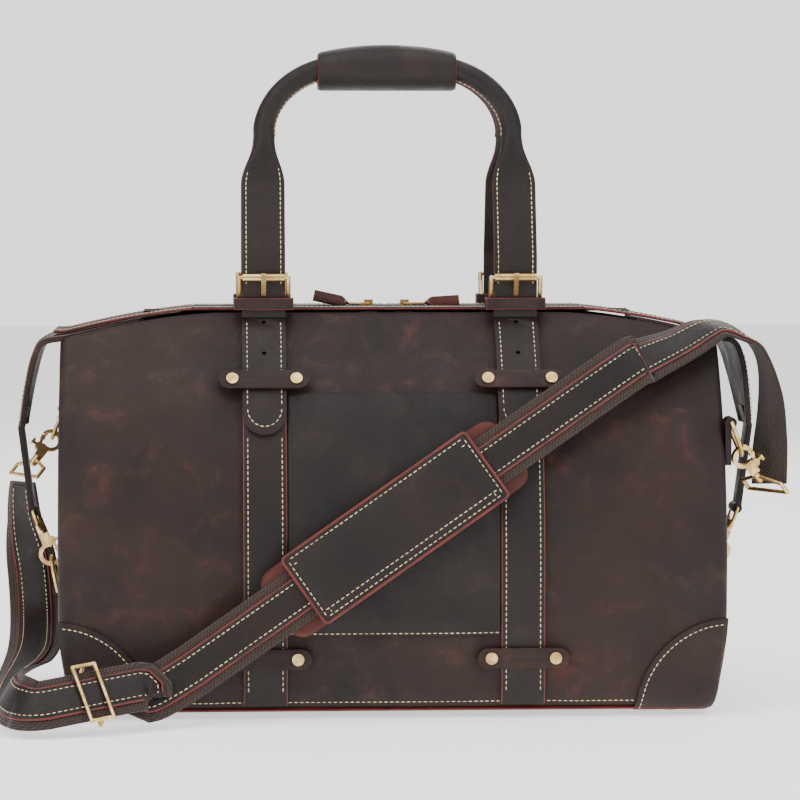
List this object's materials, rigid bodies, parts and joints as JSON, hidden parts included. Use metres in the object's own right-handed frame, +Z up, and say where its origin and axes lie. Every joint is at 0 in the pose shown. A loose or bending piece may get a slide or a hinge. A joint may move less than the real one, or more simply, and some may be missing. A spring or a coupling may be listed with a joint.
{
  "type": "weekender bag",
  "caption": "Leather weekender bag with two buckled handles, zip mouth, folded end wings clipped down and a padded shoulder strap",
  "frame": {"origin": "on the floor under the bag's middle, at the centre of the middle foot's underside", "axes": "+X to the wearer's right along the length, +Y to the back, +Z up"},
  "size_m": [0.6006, 0.342, 0.5045],
  "materials": {
    "brown_leather": "waxed pull-up leather, satin",
    "dark_leather": "waxed pull-up leather, satin",
    "pad_leather": "oiled suede side",
    "webbing": "tight cotton webbing",
    "lining": "plain cotton",
    "board": "matte",
    "brass": "antique brushed"
  },
  "bodies": {
    "bag": {"back_panel": "brown_leather", "base_board": "board", "body_straps": "dark_leather", "bottom_panel": "brown_leather", "corner_patches": "dark_leather", "crossbars": "brown_leather", "end_panels": "brown_leather", "end_wings": "brown_leather", "feet": "brass", "front_panel": "brown_leather", "front_pocket": "dark_leather", "handle_strap_tips": "dark_leather", "hook_eyes": "brass", "lining": "lining", "ring_tabs": "dark_leather", "rivets": "brass", "shoulder_webbing": "webbing", "strap_overlay": "dark_leather", "zip_facing_ends": "dark_leather"},
    "front_handle": {"front_handle_strap": "dark_leather", "front_buckle_chapes": "dark_leather", "front_buckle_frames": "brass", "front_keepers": "brown_leather", "front_grip_wrap": "dark_leather"},
    "front_rollers": {"front_buckle_rollers": "brass"},
    "front_left_prong": {"front_left_tongue": "brass"},
    "front_right_prong": {"front_right_tongue": "brass"},
    "front_lip": {"front_zip_facing": "dark_leather", "front_zip_tape": "webbing"},
    "rear_handle": {"rear_handle_strap": "dark_leather", "rear_buckle_chapes": "dark_leather", "rear_buckle_frames": "brass", "rear_keepers": "brown_leather", "rear_grip_wrap": "dark_leather"},
    "rear_rollers": {"rear_buckle_rollers": "brass"},
    "rear_left_prong": {"rear_left_tongue": "brass"},
    "rear_right_prong": {"rear_right_tongue": "brass"},
    "rear_lip": {"rear_zip_facing": "dark_leather", "rear_zip_tape": "webbing"},
    "left_slider_body": {"left_slider": "brass"},
    "left_pull": {"left_pull_link": "brass", "left_leather_pull": "brown_leather"},
    "left_wing_hook": {"left_wing_hook_body": "brass"},
    "left_wing_gate": {"left_wing_hook_gate": "brass"},
    "left_lower_ring_body": {"left_lower_ring": "brass"},
    "right_slider_body": {"right_slider": "brass"},
    "right_pull": {"right_pull_link": "brass", "right_leather_pull": "brown_leather"},
    "right_wing_hook": {"right_wing_hook_body": "brass"},
    "right_wing_gate": {"right_wing_hook_gate": "brass"},
    "right_lower_ring_body": {"right_lower_ring": "brass"},
    "front_strap_hook": {"front_strap_hook_body": "brass"},
    "front_strap_gate": {"front_strap_hook_gate": "brass"},
    "front_shoulder_ring_body": {"front_shoulder_ring": "brass"},
    "rear_strap_hook": {"rear_strap_hook_body": "brass"},
    "rear_strap_gate": {"rear_strap_hook_gate": "brass"},
    "rear_shoulder_ring_body": {"rear_shoulder_ring": "brass"},
    "pad": {"pad_base": "pad_leather", "pad_cover": "dark_leather"},
    "strap_slide": {"adjuster": "brass"}
  },
  "joints": [
    {"name": "front_handle_fall", "type": "hinge", "parent": "bag", "child": "front_handle", "pos_m": [0, -0.05314, 0.29749], "axis": [1, 0, 0], "range_deg": [0, 100]},
    {"name": "front_roller_spin", "type": "hinge", "parent": "front_handle", "child": "front_rollers", "pos_m": [0, -0.05654, 0.32749], "axis": [1, 0, 0], "continuous": true},
    {"name": "front_left_tongue_swing", "type": "hinge", "parent": "front_handle", "child": "front_left_prong", "pos_m": [-0.096, -0.04704, 0.30549], "axis": [1, 0, 0], "range_deg": [0, 7]},
    {"name": "front_right_tongue_swing", "type": "hinge", "parent": "front_handle", "child": "front_right_prong", "pos_m": [0.096, -0.04704, 0.30549], "axis": [1, 0, 0], "range_deg": [0, 7]},
    {"name": "rear_handle_fall", "type": "hinge", "parent": "bag", "child": "rear_handle", "pos_m": [0, 0.05314, 0.29749], "axis": [-1, 0, 0], "range_deg": [0, 100]},
    {"name": "rear_roller_spin", "type": "hinge", "parent": "rear_handle", "child": "rear_rollers", "pos_m": [0, 0.05654, 0.32749], "axis": [1, 0, 0], "continuous": true},
    {"name": "rear_left_tongue_swing", "type": "hinge", "parent": "rear_handle", "child": "rear_left_prong", "pos_m": [-0.096, 0.04704, 0.30549], "axis": [-1, 0, 0], "range_deg": [0, 7]},
    {"name": "rear_right_tongue_swing", "type": "hinge", "parent": "rear_handle", "child": "rear_right_prong", "pos_m": [0.096, 0.04704, 0.30549], "axis": [-1, 0, 0], "range_deg": [0, 7]},
    {"name": "a_mouth_front_lip", "type": "hinge", "parent": "bag", "child": "front_lip", "pos_m": [0, -0.038, 0.3034], "axis": [1, 0, 0], "range_deg": [0, 75], "deforming": ["front_zip_tape"]},
    {"name": "a_mouth_rear_lip", "type": "hinge", "parent": "bag", "child": "rear_lip", "pos_m": [0, 0.038, 0.3034], "axis": [-1, 0, 0], "range_deg": [0, 75], "deforming": ["rear_zip_tape"]},
    {"name": "left_slider_travel", "type": "slide", "parent": "bag", "child": "left_slider_body", "axis": [-1, 0, 0], "range_m": [0, 0.1402]},
    {"name": "left_pull_flip", "type": "hinge", "parent": "left_slider_body", "child": "left_pull", "pos_m": [-0.014, 0, 0.306], "axis": [0, 1, 0], "range_deg": [0, 140]},
    {"name": "right_slider_travel", "type": "slide", "parent": "bag", "child": "right_slider_body", "axis": [1, 0, 0], "range_m": [0, 0.1402]},
    {"name": "right_pull_flip", "type": "hinge", "parent": "right_slider_body", "child": "right_pull", "pos_m": [0.014, 0, 0.306], "axis": [0, -1, 0], "range_deg": [0, 140]},
    {"name": "right_wing_hook_swivel", "type": "hinge", "parent": "bag", "child": "right_wing_hook", "pos_m": [0.261, 0, 0.112], "axis": [-0.3451, 0, -0.9386], "range_deg": [-16, 16]},
    {"name": "right_wing_gate_open", "type": "hinge", "parent": "right_wing_hook", "child": "right_wing_gate", "pos_m": [0.26, 0, 0.1226], "axis": [0, -1, 0], "range_deg": [0, 14], "stiffness_Nm_per_rad": 0.02, "springref_deg": -8.59},
    {"name": "right_lower_ring_tilt", "type": "hinge", "parent": "bag", "child": "right_lower_ring_body", "pos_m": [0.255, 0, 0.084], "axis": [0, -1, 0], "range_deg": [-4, 0]},
    {"name": "left_wing_hook_swivel", "type": "hinge", "parent": "bag", "child": "left_wing_hook", "pos_m": [-0.261, 0, 0.112], "axis": [0.3451, 0, -0.9386], "range_deg": [-16, 16]},
    {"name": "left_wing_gate_open", "type": "hinge", "parent": "left_wing_hook", "child": "left_wing_gate", "pos_m": [-0.26, 0, 0.1226], "axis": [0, 1, 0], "range_deg": [0, 14], "stiffness_Nm_per_rad": 0.02, "springref_deg": -8.59},
    {"name": "left_lower_ring_tilt", "type": "hinge", "parent": "bag", "child": "left_lower_ring_body", "pos_m": [-0.255, 0, 0.084], "axis": [0, 1, 0], "range_deg": [-4, 0]},
    {"name": "front_strap_hook_swivel", "type": "hinge", "parent": "bag", "child": "front_strap_hook", "pos_m": [0.265, -0.096, 0.193], "axis": [-0.5803, -0.3502, 0.7353], "range_deg": [-10, 10]},
    {"name": "front_strap_gate_open", "type": "hinge", "parent": "front_strap_hook", "child": "front_strap_gate", "pos_m": [0.27415, -0.09249, 0.18883], "axis": [0.2433, -0.9362, -0.2538], "range_deg": [0, 14], "stiffness_Nm_per_rad": 0.02, "springref_deg": -8.59},
    {"name": "front_shoulder_ring_tilt", "type": "hinge", "parent": "bag", "child": "front_shoulder_ring_body", "pos_m": [0.2546, -0.096, 0.2194], "axis": [0, -1, 0], "range_deg": [-2, 0]},
    {"name": "rear_strap_hook_swivel", "type": "hinge", "parent": "bag", "child": "rear_strap_hook", "pos_m": [-0.265, 0.096, 0.193], "axis": [0.5803, 0.3502, 0.7353], "range_deg": [-10, 10]},
    {"name": "rear_strap_gate_open", "type": "hinge", "parent": "rear_strap_hook", "child": "rear_strap_gate", "pos_m": [-0.27415, 0.09249, 0.18883], "axis": [-0.2433, 0.9362, -0.2538], "range_deg": [0, 14], "stiffness_Nm_per_rad": 0.02, "springref_deg": -8.59},
    {"name": "rear_shoulder_ring_tilt", "type": "hinge", "parent": "bag", "child": "rear_shoulder_ring_body", "pos_m": [-0.2546, 0.096, 0.2194], "axis": [0, 1, 0], "range_deg": [-2, 0]},
    {"name": "shoulder_pad_slide", "type": "slide", "parent": "bag", "child": "pad", "axis": [0.8217, 0.1118, 0.5588], "range_m": [-0.035, 0.06]},
    {"name": "strap_adjuster_slide", "type": "slide", "parent": "bag", "child": "strap_slide", "axis": [0.923, 0.3636, 0.1259], "range_m": [-0.016, 0.016]}
  ],
  "couplings": [
    {"joint": "a_mouth_rear_lip", "follows": "a_mouth_front_lip", "ratio": 1},
    {"joint": "left_slider_travel", "follows": "a_mouth_front_lip", "m_per_rad": 0.10695},
    {"joint": "right_slider_travel", "follows": "a_mouth_front_lip", "m_per_rad": 0.10695}
  ]
}
